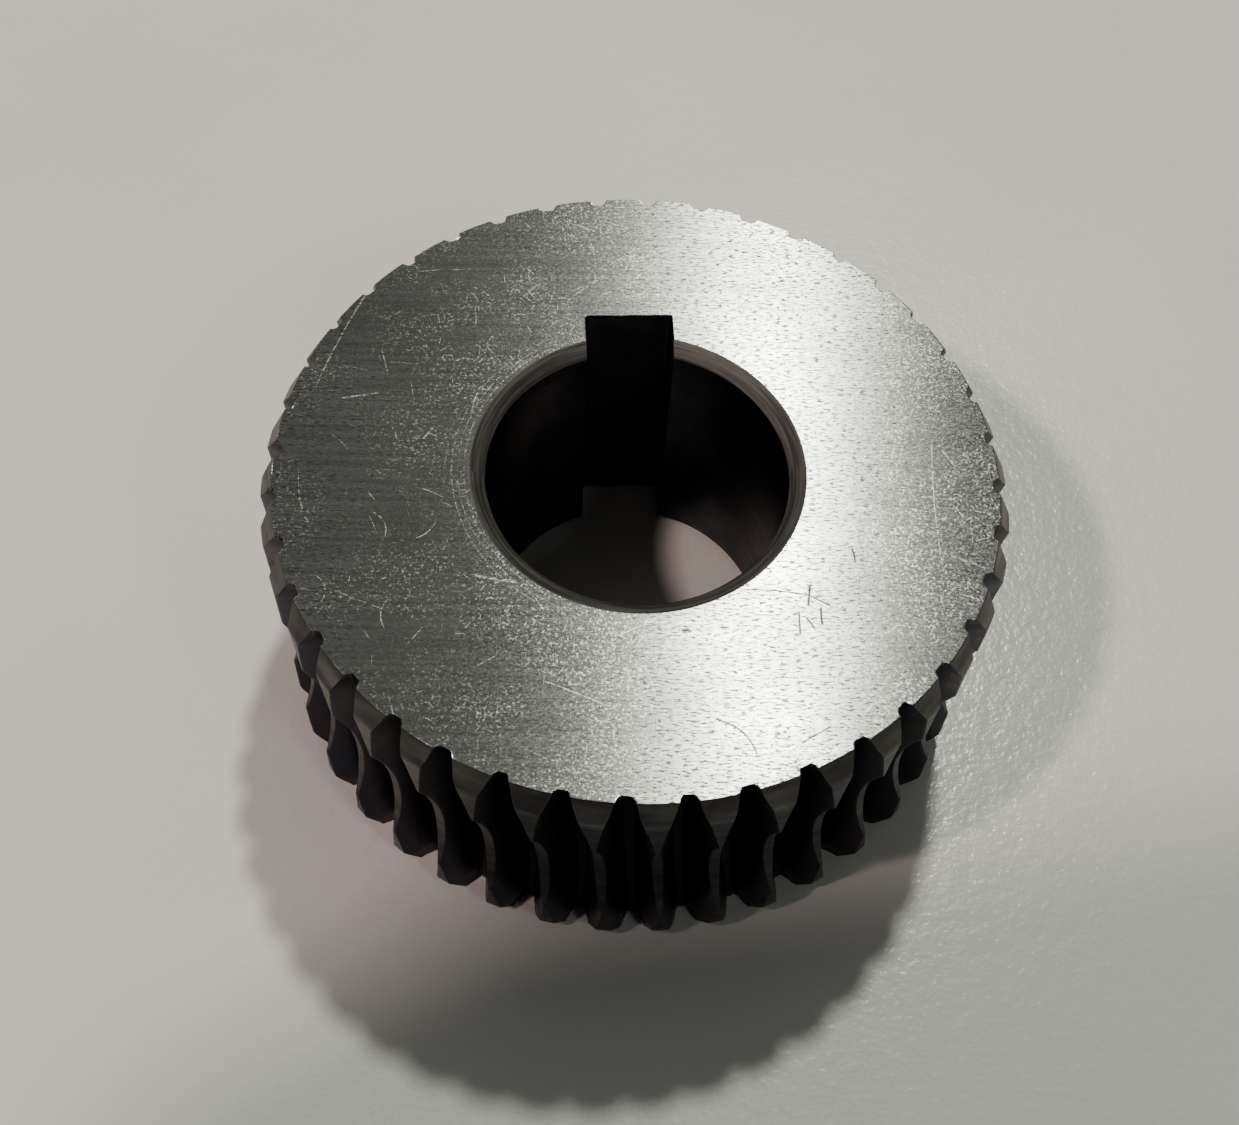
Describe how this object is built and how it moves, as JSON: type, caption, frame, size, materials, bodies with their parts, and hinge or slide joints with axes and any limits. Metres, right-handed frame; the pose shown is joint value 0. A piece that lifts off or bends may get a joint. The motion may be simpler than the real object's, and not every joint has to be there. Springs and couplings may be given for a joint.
{
  "type": "helical gear",
  "caption": "Throated helical gear (worm wheel) turned from one piece of steel, with chamfered rims and a round keyed bore.",
  "frame": {"origin": "centre of the wheel's lower face, on the bore axis", "axes": "+Z along the bore axis towards the upper face, keyway towards +Y"},
  "size_m": [0.0492, 0.0492, 0.021],
  "materials": {
    "steel": "ground faces with fine scratches, turned chamfers, dark oily tooth flanks and bore"
  },
  "bodies": {
    "root": {"worm_wheel": "steel"}
  },
  "joints": []
}
